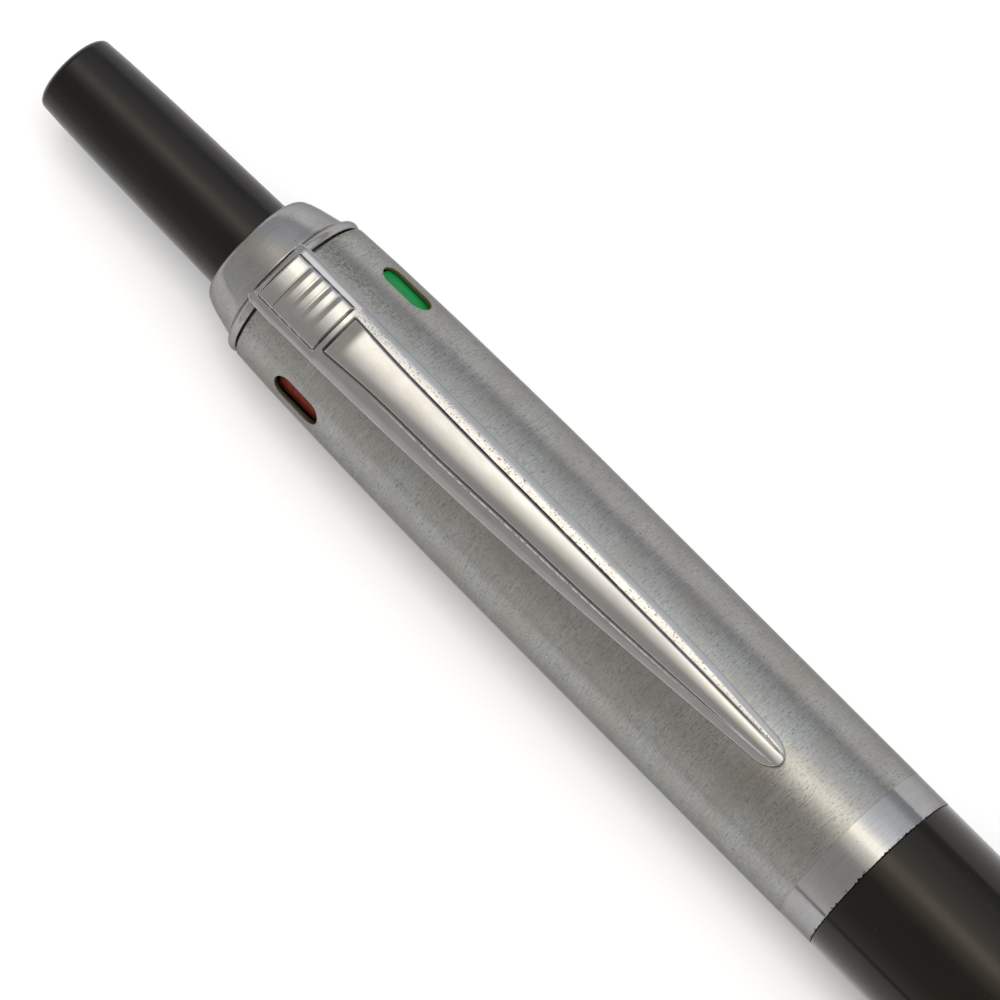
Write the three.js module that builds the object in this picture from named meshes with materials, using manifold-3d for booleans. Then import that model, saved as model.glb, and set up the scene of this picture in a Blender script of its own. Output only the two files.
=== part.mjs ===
// A three-colour ballpoint pen. A weight inside swings to the lowest refill, and the push button
// drives out the refill that the weight has found.
//
// Millimetres. The pen lies along X with its nose towards +X, and its pocket clip is on top, at +Z.
// A station is a distance along the pen's axis from the free end of the push button, and every
// profile below is a list of [station, radius] pairs.

import * as THREE from 'three';
import { mergeVertices } from 'three/addons/utils/BufferGeometryUtils.js';
import Module from 'manifold-3d';

const wasm = await Module();
wasm.setup();

// Driving dimensions
const penLength = 140;
const capRadius = 6.25;
const roundSides = 40;
const innerSides = 24;
const wireSides = 12;
const refillLength = 67;
const refillRadius = 1.15;
const capBore = 5.66;
const mouthBore = 5.5;
const flagRadius = 5.5;
const sleeveRadius = 5.35;
const clipFootWidth = 2.8;
const clipNotch = 2.3;
const colours = [
  { name: 'green', turn: 60, hue: 0x12a04a, ink: 0x1d7a3e },
  { name: 'red', turn: -60, hue: 0x8c2f1f, ink: 0xa3262a },
  { name: 'blue', turn: 180, hue: 0x1f4fa8, ink: 0x24418c },
];

// Stations of the pieces along the pen
const station = {
  lip: 17.3,
  flange: 19.5,
  bead: 20.42,
  clipRear: 20.55,
  cap: 21.45,
  clipFoot: 23.2,
  spigotEnd: 23.8,
  sleeve: 24.1,
  flag: 25.2,
  window: 27.1,
  carrier: 31,
  catch: 41.8,
  plate: 53,
  connector: 57.4,
  socket: 63,
  refill: 66.8,
  band: 72.55,
  mouth: 75.3,
  guide: 82,
  connectorEnd: 85.4,
  nose: 121,
};

// Sizes across the pen
const rodReach = 2.9;
const guideReach = 2.64;
const refillLean = 1.03;
const carrierWidth = 2.8;
const flagWidth = 2.5;
const slotWidth = 3;
const pinRadius = 0.6;
const stemRadius = 1.5;
const hubRadius = 1.95;
const boreRadius = 4.3;
const armHeight = 4;
const gap = 0.3;
const restHeight = capRadius * Math.cos(Math.PI / roundSides);

const finishes = {
  brushedSteel: { color: 0x9a9a9c, roughness: 0.42, metalness: 1 },
  polishedSteel: { color: 0xc4c4c8, roughness: 0.18, metalness: 1 },
  chrome: { color: 0xd6d6da, roughness: 0.08, metalness: 1 },
  brass: { color: 0xb99a55, roughness: 0.35, metalness: 1 },
  spring: { color: 0x8f9194, roughness: 0.3, metalness: 1 },
  blackMatt: { color: 0x222222, roughness: 0.55, metalness: 0 },
  blackGloss: { color: 0x1a1919, roughness: 0.3, metalness: 0 },
  housing: { color: 0x3c3d40, roughness: 0.5, metalness: 0 },
};

function finish(name) {
  return new THREE.MeshStandardMaterial(finishes[name]);
}

function plastic(color) {
  return new THREE.MeshStandardMaterial({ color, roughness: 0.4, metalness: 0 });
}

// Merges a geometry's shared points, drops its flat triangles and turns its faces outwards.
function closed(geometry) {
  geometry.deleteAttribute('normal');
  geometry.deleteAttribute('uv');
  const merged = mergeVertices(geometry, 1e-4);
  const place = merged.attributes.position;
  const corner = (i) => new THREE.Vector3().fromBufferAttribute(place, i);
  const kept = [];
  let volume = 0;
  for (let i = 0; i < merged.index.count; i += 3) {
    const [a, b, c] = [0, 1, 2].map((k) => merged.index.getX(i + k));
    if (a === b || b === c || c === a) continue;
    kept.push(a, b, c);
    volume += corner(a).dot(corner(b).cross(corner(c)));
  }
  if (volume < 0) kept.reverse();
  merged.setIndex(kept);
  return merged;
}

function toSolid(geometry) {
  return new wasm.Manifold(new wasm.Mesh({
    numProp: 3,
    vertProperties: new Float32Array(geometry.attributes.position.array),
    triVerts: new Uint32Array(geometry.index.array),
  }));
}

function fromSolid(solid) {
  const mesh = solid.getMesh();
  const geometry = new THREE.BufferGeometry();
  geometry.setAttribute('position', new THREE.BufferAttribute(mesh.vertProperties, 3));
  geometry.setIndex(new THREE.BufferAttribute(mesh.triVerts, 1));
  return geometry;
}

function cut(geometry, tools) {
  return fromSolid(tools.reduce((solid, tool) => solid.subtract(toSolid(tool)), toSolid(geometry)));
}

function join(geometries) {
  return fromSolid(geometries.map(toSolid).reduce((whole, solid) => whole.add(solid)));
}

function keepWithin(geometry, shape) {
  return fromSolid(toSolid(geometry).intersect(toSolid(shape)));
}

// Turns a profile round the pen's axis. A ring's profile closes on itself, and a solid one's
// starts and ends on the axis. A flat side faces down, so that the pen lies steady.
function revolve(profile, sides = roundSides) {
  const onAxis = profile[0][1] === 0;
  const outline = onAxis ? profile : [...profile, profile[0]];
  const points = outline.map(([s, r]) => new THREE.Vector2(r, s));
  const geometry = new THREE.LatheGeometry(points, sides, Math.PI / sides);
  return closed(geometry.rotateZ(-Math.PI / 2));
}

function cylinder(from, to, radius, sides = innerSides) {
  return revolve([[from, 0], [from, radius], [to, radius], [to, 0]], sides);
}

function tube(from, to, outer, inner, sides = innerSides) {
  return revolve([[from, inner], [from, outer], [to, outer], [to, inner]], sides);
}

// A block given by its lowest and highest corners
function block([x0, y0, z0], [x1, y1, z1]) {
  const geometry = new THREE.BoxGeometry(x1 - x0, y1 - y0, z1 - z0);
  return closed(geometry.translate((x0 + x1) / 2, (y0 + y1) / 2, (z0 + z1) / 2));
}

// Turns a geometry made at the top of the pen round to a place given in degrees towards +Y.
function turned(geometry, degrees) {
  return geometry.clone().rotateX(-THREE.MathUtils.degToRad(degrees));
}

// A slot with round ends, standing up from low to high over the pen's axis
function slotCutter(centre, length, width, low, high) {
  const half = (length - width) / 2;
  const outline = new THREE.Shape();
  outline.absarc(half, 0, width / 2, -Math.PI / 2, Math.PI / 2);
  outline.absarc(-half, 0, width / 2, Math.PI / 2, Math.PI * 1.5);
  const options = { depth: high - low, bevelEnabled: false, curveSegments: 8 };
  return closed(new THREE.ExtrudeGeometry(outline, options).translate(centre, 0, low));
}

// Value at a station, straight between [station, value] pairs
function along(pairs, s) {
  const last = pairs.length - 1;
  if (s <= pairs[0][0]) return pairs[0][1];
  if (s >= pairs[last][0]) return pairs[last][1];
  const i = pairs.findIndex((pair) => pair[0] > s) - 1;
  const share = (s - pairs[i][0]) / (pairs[i + 1][0] - pairs[i][0]);
  return THREE.MathUtils.lerp(pairs[i][1], pairs[i + 1][1], share);
}

// A solid through rings of points that all have the same count, with flat ends
function loft(rings) {
  const count = rings[0].length;
  const points = rings.flat();
  const faces = [];
  for (let ring = 0; ring < rings.length - 1; ring += 1) {
    for (let k = 0; k < count; k += 1) {
      const next = (k + 1) % count;
      const a = ring * count + k;
      const b = ring * count + next;
      faces.push(a, b, b + count, a, b + count, a + count);
    }
  }
  const ends = [[0, 1], [(rings.length - 1) * count, -1]];
  for (const [start, side] of ends) {
    const outline = rings[start / count].map((p) => new THREE.Vector2(p.y, p.z));
    for (const [a, b, c] of THREE.ShapeUtils.triangulateShape(outline, [])) {
      faces.push(...(side > 0 ? [start + c, start + b, start + a] : [start + a, start + b, start + c]));
    }
  }
  const geometry = new THREE.BufferGeometry().setFromPoints(points);
  geometry.setIndex(faces);
  return closed(geometry);
}

// A coil spring round the pen's axis, as one unbroken wire. It prints its least gap to itself.
const springSteps = 8;
const springWireSides = 5;
function coilSpring(name, { from, to, radius, wire, curls }) {
  const wireRadius = wire / 2;
  const centre = (t) => {
    const angle = t * curls * Math.PI * 2;
    const s = THREE.MathUtils.lerp(from + wireRadius, to - wireRadius, t);
    return new THREE.Vector3(s, radius * Math.sin(angle), radius * Math.cos(angle));
  };
  const steps = Math.round(curls * springSteps);
  const middle = [];
  const rings = [];
  for (let i = 0; i <= steps; i += 1) {
    const t = i / steps;
    const here = centre(t);
    const out = new THREE.Vector3(0, here.y, here.z).normalize();
    const ahead = centre(t + 1e-4).sub(centre(t - 1e-4)).normalize();
    const up = new THREE.Vector3().crossVectors(ahead, out).normalize();
    middle.push(here);
    rings.push(Array.from({ length: springWireSides }, (_, k) => {
      const angle = (k / springWireSides) * Math.PI * 2;
      const offset = out.clone().multiplyScalar(Math.cos(angle) * wireRadius);
      return here.clone().add(offset).addScaledVector(up, Math.sin(angle) * wireRadius);
    }));
  }
  let least = Infinity;
  for (let i = 0; i < middle.length; i += 1) {
    for (let j = i + springSteps / 2; j < middle.length; j += 1) {
      least = Math.min(least, middle[i].distanceTo(middle[j]) - wire);
    }
  }
  console.log(`${name}: least gap to itself ${least.toFixed(2)} mm`);
  return loft(rings);
}

// Push button: a matt black cup whose flange stays behind the collar's lip
function pushButton() {
  const flangeEnd = station.flange + 1;
  return revolve([
    [0, 0], [0, 2.62], [0.1, 2.86], [0.4, 3.02], [station.lip, 3.48],
    [station.flange, 3.5], [station.flange, 3.85], [flangeEnd, 3.85],
    [flangeEnd, 2.7], [1.5, 2.3], [1.5, 0],
  ], innerSides + 8);
}

// Plunger: a head in the button, and a stem with a bore for the guide pin
function plunger() {
  const headEnd = station.flange + 0.8;
  const boreStart = 18.6;
  const bore = pinRadius + 0.25;
  const groove = station.carrier - 0.1;
  const grooveEnd = station.carrier + 0.5;
  const stemEnd = station.carrier + 1.2;
  return revolve([
    [1.8, 0], [1.8, 1.95], [headEnd, 2.35], [headEnd, stemRadius],
    [groove, stemRadius], [groove, stemRadius - gap], [grooveEnd, stemRadius - gap],
    [grooveEnd, stemRadius], [stemEnd, stemRadius - 0.1], [stemEnd, bore], [boreStart, bore],
    [boreStart, 0],
  ], innerSides + 8);
}

// Selector weight: a ring on the stem, with a sector that hangs down over the lowest carrier
function selectorWeight() {
  const front = station.carrier - gap;
  const rear = front - 8.7;
  const hub = tube(rear, front, hubRadius, stemRadius + 0.12);
  const sector = tube(rear + 2.5, front, 3.55, hubRadius - 0.15);
  const wedge = new THREE.Shape();
  wedge.moveTo(0, 0);
  wedge.absarc(0, 0, 6, Math.PI * 0.76, Math.PI * 1.24);
  const options = { depth: 10, bevelEnabled: false, curveSegments: 4 };
  const limits = new THREE.ExtrudeGeometry(wedge, options).rotateY(Math.PI / 2).translate(rear, 0, 0);
  return join([hub, turned(keepWithin(sector, closed(limits)), 180)]);
}

function retainingClip() {
  return tube(station.carrier, station.carrier + 0.4, hubRadius, stemRadius - 0.2);
}

// Crown collar: a polished cone with a lip for the button, a bead and a spigot in the cap. The
// bead is notched for the clip.
function crownCollar() {
  const { lip, bead, cap, spigotEnd } = station;
  const lipEnd = lip + 1.9;
  const lipBore = 3.7;
  const beadEnd = cap - 0.25;
  const turnedCone = revolve([
    [lip, lipBore], [lip, 3.98], [lip + 0.1, 4.22], [lip + 0.35, 4.42], [lip + 0.8, 4.62],
    [lip + 1.4, 4.81], [bead, 5.27], [bead + 0.06, 5.58], [bead + 0.26, 5.76], [bead + 0.53, 5.8],
    [beadEnd, 5.6], [beadEnd, 5.2], [spigotEnd, 5.2], [spigotEnd, boreRadius], [lipEnd, boreRadius],
    [lipEnd, lipBore],
  ]);
  return cut(turnedCone, [block([bead, -clipNotch, 5.25], [cap, clipNotch, 7])]);
}

// Cap tube: brushed steel, with a window over each colour flag and a slot for the clip's foot
function capTube() {
  const { cap, band, window, clipFoot } = station;
  const end = band - 0.1;
  const shell = revolve([
    [cap, 5.6], [cap + 0.1, 5.72], [25, 5.89], [28, 5.98], [31, 6.06], [35, 6.14], [40, 6.22],
    [45, capRadius], [end, capRadius], [end, mouthBore], [62, mouthBore], [62, capBore],
    [26, capBore], [23, 5.45], [cap, 5.35],
  ]);
  const windows = colours.map(({ turn }) => turned(slotCutter(window, 4, 2, 4, 8), turn));
  const half = clipFootWidth / 2 + gap;
  const clipSlot = block([clipFoot - 1, -half, 4], [clipFoot + 1, half, 8]);
  return cut(shell, [...windows, clipSlot]);
}

// Mouth ring: the polished band at the cap's lower end
function mouthRing() {
  const { band, mouth } = station;
  return revolve([
    [band, mouthBore], [band, capRadius - 0.03], [band + 0.05, capRadius], [mouth - 0.08, capRadius],
    [mouth, capRadius - 0.08], [mouth, mouthBore],
  ]);
}

// Pocket clip: a pressed strip, arched across, with a raised ridge between its two flanges. Its
// head is a pad that is reeded across, and a foot under the head goes through the cap's wall.
const clip = {
  tip: 66.7,
  roundTip: 65.3,
  archRadius: 7.5,
  reeds: 4,
  reedsFrom: 22.4,
  reedsTo: 26.3,
  reedDepth: 0.16,
  rearHollow: 0.4,
  halfWidth: [[20.55, 2.32], [20.95, 2.54], [26.1, 2.55], [34.7, 2.42], [50.9, 1.94], [65.3, 1.07]],
  middle: [[28, -0.1], [66.7, 0.55]],
  ridgeHalf: [[20.55, 1.9], [26.5, 1.9], [26.9, 1.48], [31.5, 1.26], [45.7, 1.05], [59.5, 0.66],
    [66.7, 0.36]],
  ridgeHeight: [[20.55, 0.1], [21.6, 0.34], [26.4, 0.36], [26.6, 0.05], [26.8, 0.05], [27.2, 0.6],
    [45, 0.6], [58.5, 0.42], [66.7, 0.14]],
  under: [[20.55, 5.9], [21.4, 6.02], [26.1, 6.17], [30.2, 6.65], [36.2, 7.05], [46.4, 7.15],
    [56.5, 6.9], [64.6, 6.48], [66.7, 6.44]],
  thick: [[20.55, 0.45], [21.4, 0.62], [52.4, 0.6], [64.6, 0.5], [66.7, 0.3]],
};

// The reeds: how far the head's top sinks at a station
function reedSink(s) {
  const share = (s - clip.reedsFrom) / (clip.reedsTo - clip.reedsFrom);
  if (share <= 0 || share >= 1) return 0;
  return clip.reedDepth * (1 - Math.cos(share * clip.reeds * Math.PI * 2)) / 2;
}

function clipSection(s) {
  const past = Math.max(0, s - clip.roundTip) / (clip.tip + 0.03 - clip.roundTip);
  const half = along(clip.halfWidth, s) * Math.sqrt(1 - past * past);
  const ridge = Math.min(along(clip.ridgeHalf, s), half * 0.8);
  const high = along(clip.ridgeHeight, s);
  const thick = along(clip.thick, s);
  const under = along(clip.under, s);
  const middle = along(clip.middle, s);
  const hollow = s < station.clipRear + 0.01 ? clip.rearHollow : 0;
  const rightSide = [
    [half * 0.94, 0], [half, thick * 0.3], [half, thick * 0.75], [half * 0.93, thick],
    [ridge, thick], [ridge * 0.93, thick + high * 0.7], [ridge * 0.72, thick + high * 0.96],
  ];
  const leftSide = rightSide.map(([y, z]) => [-y, z]).reverse();
  const outline = [[0, 0], ...rightSide, [0, thick + high], ...leftSide];
  return outline.map(([y, z]) => {
    const sink = z > thick ? reedSink(s) : 0;
    const drop = clip.archRadius - Math.sqrt(clip.archRadius ** 2 - y ** 2);
    const back = hollow * (1 - (y / half) ** 2);
    return new THREE.Vector3(s + back, y + middle, under + z - sink - drop);
  });
}

function pocketClip() {
  const reedStep = (clip.reedsTo - clip.reedsFrom) / (clip.reeds * 4);
  const stations = [];
  for (let s = station.clipRear; s < clip.reedsFrom - 0.2; s += 0.5) stations.push(s);
  for (let i = 0; i <= clip.reeds * 4; i += 1) stations.push(clip.reedsFrom + i * reedStep);
  for (const s of [26.4, 26.6, 26.8, 27.2, 28.6, 30.2, 32.7, 36.2, 41.3, 46.4, 51.4]) stations.push(s);
  for (const s of [56, 60.5, 63.5, 65.3, 65.8, 66.2, 66.5, clip.tip]) stations.push(s);
  const strip = loft(stations.map(clipSection));
  const half = clipFootWidth / 2;
  const { clipFoot } = station;
  const foot = block([clipFoot - 0.7, -half, 5.3], [clipFoot + 0.7, half, 6.3]);
  return join([strip, foot]);
}

// Mechanism sleeve: fixed in the cap, with a slot for each colour flag
function mechanismSleeve() {
  const { sleeve, connector } = station;
  const shell = tube(sleeve, connector - 0.4, sleeveRadius, boreRadius + 0.12);
  const half = slotWidth / 2;
  const slot = block([sleeve - 1, -half, 3], [station.catch - 1.3, half, 6]);
  return cut(shell, colours.map(({ turn }) => turned(slot, turn)));
}

// Catch spider: a hub on three arms between the carriers, which holds out the chosen one
function catchSpider() {
  const start = station.catch;
  const hub = tube(start, start + 3.2, 1.56, 1.28);
  const arm = block([start, -0.4, 1.45], [start + 3.2, 0.4, 4.15]);
  return join([hub, ...colours.map(({ turn }) => turned(arm, turn + 180))]);
}

// Spring plate: carries the guide pin and lets the three rods through
function springPlate() {
  const { plate } = station;
  const hole = cylinder(plate - 1, plate + 4, 1.08, wireSides).translate(0, 0, rodReach);
  const middle = cylinder(plate - 1, plate + 4, pinRadius + 0.2, wireSides);
  return cut(cylinder(plate, plate + 2.2, 4.2), [middle, ...colours.map(({ turn }) => turned(hole, turn))]);
}

function guidePin() {
  const { plate } = station;
  return revolve([
    [28.2, 0], [28.4, pinRadius], [plate + 2.5, pinRadius], [plate + 2.5, 1.3], [plate + 3.3, 1.3],
    [plate + 3.3, 0],
  ], wireSides);
}

// Carrier: a sliding block with a thin arm back to the colour flag in the window
function carrier() {
  const { carrier: rear } = station;
  const half = flagWidth / 2;
  const { flag: start } = station;
  const flagEnd = start + 5.2;
  const body = block([rear, -carrierWidth / 2, 2.35], [rear + 6.5, carrierWidth / 2, boreRadius]);
  const arm = block([start, -half, armHeight], [rear + 1, half, boreRadius]);
  const flag = block([start, -half, armHeight + 0.1], [flagEnd, half, 6]);
  const rodHole = cylinder(rear + 3, rear + 8, 1, wireSides).translate(0, 0, rodReach);
  const moulding = cut(join([body, arm, flag]), [rodHole]);
  const envelope = join([
    cylinder(20, flagEnd + gap, flagRadius, roundSides), cylinder(flagEnd, 50, 4.32),
  ]);
  return keepWithin(moulding, envelope);
}

// Carrier rod: a steel rod that ends in the socket for a refill
function carrierRod() {
  const { carrier: rear, socket, refill } = station;
  const end = refill + 2.2;
  return revolve([
    [rear + 3.3, 0], [rear + 3.3, 0.75], [socket, 0.75], [socket + 0.6, 1.48], [end, 1.48],
    [end, refillRadius + 0.15], [refill - 0.3, refillRadius + 0.15], [refill - 0.3, 0],
  ], wireSides);
}

// Refill, from its own rear end: a brass tube, and a slim point in front of it
const pointLength = 16.9;
function refillTube() {
  const front = refillLength - pointLength;
  return revolve([
    [0, 0.75], [0, refillRadius], [front - 0.6, refillRadius], [front, 0.95],
    [front, 0.75],
  ], wireSides);
}

function refillPoint() {
  const start = refillLength - pointLength;
  return revolve([
    [start - 4, 0], [start - 4, 0.5], [start + 0.3, 0.5], [start + 0.3, 0.7],
    [refillLength - 2.4, 0.7], [refillLength - 0.3, 0.34], [refillLength, 0.2], [refillLength, 0],
  ], wireSides);
}

// Connector: a threaded tube fixed in the cap's mouth, which the lower barrel screws on to
function connector() {
  const { connector: start, mouth, connectorEnd } = station;
  const bore = 4.45;
  const shoulder = mouth - gap;
  return revolve([
    [start, bore], [start, 5.36], [shoulder, 5.36],
    [shoulder, 4.9], [connectorEnd - 0.4, 4.9], [connectorEnd, 4.6], [connectorEnd, bore],
  ]);
}

// Refill guide: a disc in the connector's end with a hole for each refill
function refillGuide() {
  const { guide, connectorEnd } = station;
  const hole = cylinder(guide - 1, connectorEnd + 1, refillRadius + 0.22, wireSides);
  const holes = colours.map(({ turn }) => turned(hole.clone().translate(0, 0, guideReach), turn));
  return cut(cylinder(guide, connectorEnd - 0.4, 4.25), holes);
}

// Lower barrel: a black tube that narrows to the nose
function lowerBarrel() {
  const { mouth, nose } = station;
  const start = mouth + gap;
  const seat = mouthBore + 0.05;
  return revolve([
    [start, seat], [start, 6.16], [start + 0.08, 6.24], [88, 6.24], [98, 6.1], [108, 5.8],
    [116, 5.35], [nose, 4.95], [nose, 4.05], [112, 4.3], [96, 4.7], [88, 5.1], [85.2, seat],
  ]);
}

// Barrel bush: the brass insert with the barrel's thread
function barrelBush() {
  const start = station.mouth + gap * 2;
  return tube(start, start + 8.8, mouthBore - 0.1, 5.06, roundSides);
}

// Nose cone: polished metal with a tenon in the barrel and one opening for the three points
function noseCone() {
  const { nose } = station;
  const tenon = 114;
  return revolve([
    [nose + gap, 4.93], [127, 4.15], [133, 3.3], [138.2, 2.55], [139.6, 2.3], [penLength, 2.05],
    [penLength, 1.72], [137.5, 2], [128, 2.95], [118, 3.35], [tenon, 3.4], [tenon, 3.85],
    [nose - gap, 3.85], [nose - gap, 3.95], [nose + gap, 3.95],
  ]);
}

const pen = new THREE.Group();
pen.position.set(-penLength / 2, 0, restHeight);

function add(parent, name, geometry, material) {
  const mesh = new THREE.Mesh(geometry, material);
  mesh.name = name;
  parent.add(mesh);
  return mesh;
}

add(pen, 'push_button', pushButton(), finish('blackMatt'));
add(pen, 'plunger', plunger(), finish('brass'));
add(pen, 'selector_weight', selectorWeight(), finish('brass'));
add(pen, 'retaining_clip', retainingClip(), finish('spring'));
add(pen, 'crown_collar', crownCollar(), finish('polishedSteel'));
add(pen, 'cap_tube', capTube(), finish('brushedSteel'));
add(pen, 'mouth_ring', mouthRing(), finish('polishedSteel'));
add(pen, 'pocket_clip', pocketClip(), finish('chrome'));
add(pen, 'mechanism_sleeve', mechanismSleeve(), finish('housing'));
add(pen, 'catch_spider', catchSpider(), finish('spring'));
add(pen, 'spring_plate', springPlate(), finish('brass'));
add(pen, 'guide_pin', guidePin(), finish('spring'));
add(pen, 'button_spring', coilSpring('button_spring', {
  from: station.carrier + 1.5, to: station.plate - 0.25, radius: 1, wire: 0.26, curls: 14,
}), finish('spring'));
add(pen, 'connector', connector(), finish('brass'));
add(pen, 'refill_guide', refillGuide(), finish('housing'));
add(pen, 'lower_barrel', lowerBarrel(), finish('blackGloss'));
add(pen, 'barrel_bush', barrelBush(), finish('brass'));
add(pen, 'nose_cone', noseCone(), finish('polishedSteel'));

for (const { name, turn, hue, ink } of colours) {
  const side = new THREE.Group();
  side.rotation.x = -THREE.MathUtils.degToRad(turn);
  pen.add(side);
  add(side, `${name}_carrier`, carrier(), plastic(hue));
  add(side, `${name}_rod`, carrierRod().translate(0, 0, rodReach), finish('spring'));
  add(side, `${name}_spring`, coilSpring(`${name}_spring`, {
    from: station.carrier + 6.8, to: station.plate - 0.25, radius: 1.12, wire: 0.26, curls: 10,
  }).translate(0, 0, rodReach), finish('spring'));

  const refill = new THREE.Group();
  refill.position.set(station.refill, 0, rodReach);
  refill.rotation.y = THREE.MathUtils.degToRad(refillLean);
  side.add(refill);
  add(refill, `${name}_refill`, refillTube(), plastic(ink));
  add(refill, `${name}_point`, refillPoint(), finish('brass'));
}

export default pen;
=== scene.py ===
import math

import bmesh
import bpy
import numpy as np
from mathutils import Matrix, Vector


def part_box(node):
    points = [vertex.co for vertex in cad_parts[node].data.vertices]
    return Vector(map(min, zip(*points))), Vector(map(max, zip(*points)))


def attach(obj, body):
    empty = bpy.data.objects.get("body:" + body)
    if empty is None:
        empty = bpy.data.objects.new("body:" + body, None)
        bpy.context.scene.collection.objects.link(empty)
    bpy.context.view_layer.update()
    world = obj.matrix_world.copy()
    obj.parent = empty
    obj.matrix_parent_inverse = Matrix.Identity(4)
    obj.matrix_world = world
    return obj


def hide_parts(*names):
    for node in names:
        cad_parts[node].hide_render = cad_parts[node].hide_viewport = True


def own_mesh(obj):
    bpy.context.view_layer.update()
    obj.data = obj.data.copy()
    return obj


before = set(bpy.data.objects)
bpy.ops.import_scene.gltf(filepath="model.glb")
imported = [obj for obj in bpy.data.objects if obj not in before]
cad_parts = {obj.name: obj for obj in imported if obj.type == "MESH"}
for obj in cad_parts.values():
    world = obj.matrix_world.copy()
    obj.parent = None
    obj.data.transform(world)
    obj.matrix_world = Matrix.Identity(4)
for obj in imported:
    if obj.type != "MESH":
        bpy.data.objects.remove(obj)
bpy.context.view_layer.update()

# The pen lies along X with its nose towards +X. A station is a distance in millimetres from the
# free end of the push button, and an outline is a list of [station, radius, rounding].
mm = 0.001
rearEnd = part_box("push_button")[0].x
axisHeight = (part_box("mouth_ring")[0].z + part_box("mouth_ring")[1].z) / 2
colourTurns = {"green": 60, "red": -60, "blue": 180}   # degrees from the top towards +Y


def place(station, y=0.0, z=0.0):
    return Vector((rearEnd + station * mm, y * mm, axisHeight + z * mm))


# Camera

camera = {
    "aimStation": 40.71,
    "aimSide": -0.308,
    "distance": 0.420,
    "tilt": 10.58,        # degrees towards the nose
    "roll": -0.0815,
    "turn": 45,           # the pen runs from the top left corner to the bottom right one
    "focalPixels": 6480.6,
    "imagePixels": 1000,
    "sensor": 36,
    "near": 0.01, "far": 20,
}


def makeCamera():
    tilt, roll, turn = (math.radians(camera[key]) for key in ("tilt", "roll", "turn"))
    back = Vector((math.sin(tilt), 0, math.cos(tilt)))
    along = Vector((math.cos(tilt), 0, -math.sin(tilt)))
    across = Vector((0, 1, 0))
    pictureAlong = math.cos(roll) * along - math.sin(roll) * across
    pictureAcross = math.sin(roll) * along + math.cos(roll) * across
    right = math.cos(turn) * pictureAlong + math.sin(turn) * pictureAcross
    up = back.cross(right)
    target = place(camera["aimStation"], camera["aimSide"])
    data = bpy.data.cameras.new("photoCamera")
    data.sensor_width = camera["sensor"]
    data.lens = camera["sensor"] * camera["focalPixels"] / camera["imagePixels"]
    data.clip_start, data.clip_end = camera["near"], camera["far"]
    view = bpy.data.objects.new("photoCamera", data)
    view.matrix_world = Matrix((right, up, back)).transposed().to_4x4()
    view.location = target + camera["distance"] * back
    bpy.context.scene.collection.objects.link(view)
    bpy.context.scene.camera = view


makeCamera()
print("camera ready")


# Shader helpers

def linearColour(hexColour):
    channels = [(hexColour >> shift & 255) / 255 for shift in (16, 8, 0)]
    return [c / 12.92 if c <= 0.04045 else ((c + 0.055) / 1.055) ** 2.4 for c in channels] + [1]


# Adds a node, with a value or a socket for each of the given inputs
def addNode(tree, kind, inputs=(), **settings):
    node = tree.nodes.new(kind)
    for key, value in settings.items():
        setattr(node, key, value)
    for key, value in dict(inputs).items():
        if isinstance(value, bpy.types.NodeSocket):
            tree.links.new(value, node.inputs[key])
        else:
            node.inputs[key].default_value = value
    return node


def newMaterial(name, values):
    material = bpy.data.materials.new(name)
    material.use_nodes = True
    tree = material.node_tree
    for key, value in values.items():
        tree.nodes["Principled BSDF"].inputs[key].default_value = value
    return material, tree


def setInput(tree, key, socket):
    tree.links.new(socket, tree.nodes["Principled BSDF"].inputs[key])


def addPoint(tree):
    return addNode(tree, "ShaderNodeTexCoord").outputs["Object"]


def addSplit(tree, vector):
    return addNode(tree, "ShaderNodeSeparateXYZ", {0: vector}).outputs


def addAttribute(tree, name):
    return addNode(tree, "ShaderNodeAttribute", attribute_name=name).outputs["Fac"]


# Noise on Object coordinates, whose cells have the given sizes in millimetres along and across the pen
def addNoise(tree, along, across, detail=2.0, roughness=0.5, offset=(0, 0, 0)):
    scale = [1 / (size * mm) for size in (along, across, across)]
    mapped = addNode(tree, "ShaderNodeMapping",
                     {"Vector": addPoint(tree), "Scale": scale, "Location": offset})
    return addNode(tree, "ShaderNodeTexNoise", {
        "Vector": mapped.outputs["Vector"], "Scale": 1.0, "Detail": detail, "Roughness": roughness,
    }).outputs["Fac"]


def addRange(tree, socket, low, high, toLow=0.0, toHigh=1.0, smooth=False):
    return addNode(tree, "ShaderNodeMapRange", {
        "Value": socket, "From Min": low, "From Max": high, "To Min": toLow, "To Max": toHigh,
    }, interpolation_type="SMOOTHSTEP" if smooth else "LINEAR").outputs["Result"]


def addMath(tree, operation, first, second=0.0):
    return addNode(tree, "ShaderNodeMath", {0: first, 1: second}, operation=operation).outputs[0]


def addProduct(tree, first, second):
    return addMath(tree, "MULTIPLY", first, second)


def addLarger(tree, first, second):
    return addMath(tree, "MAXIMUM", first, second)


def addMix(tree, factor, first, second):
    first, second = (linearColour(tone) if isinstance(tone, int) else tone for tone in (first, second))
    return addNode(tree, "ShaderNodeMix", {0: factor, 6: first, 7: second}, data_type="RGBA").outputs[2]


def addBump(tree, height, strength, distance):
    bump = addNode(tree, "ShaderNodeBump",
                   {"Height": height, "Strength": strength, "Distance": distance * mm})
    setInput(tree, "Normal", bump.outputs["Normal"])


def addTangentAlongPen(tree):
    setInput(tree, "Tangent", addNode(tree, "ShaderNodeCombineXYZ", {"X": 1.0}).outputs[0])


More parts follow.
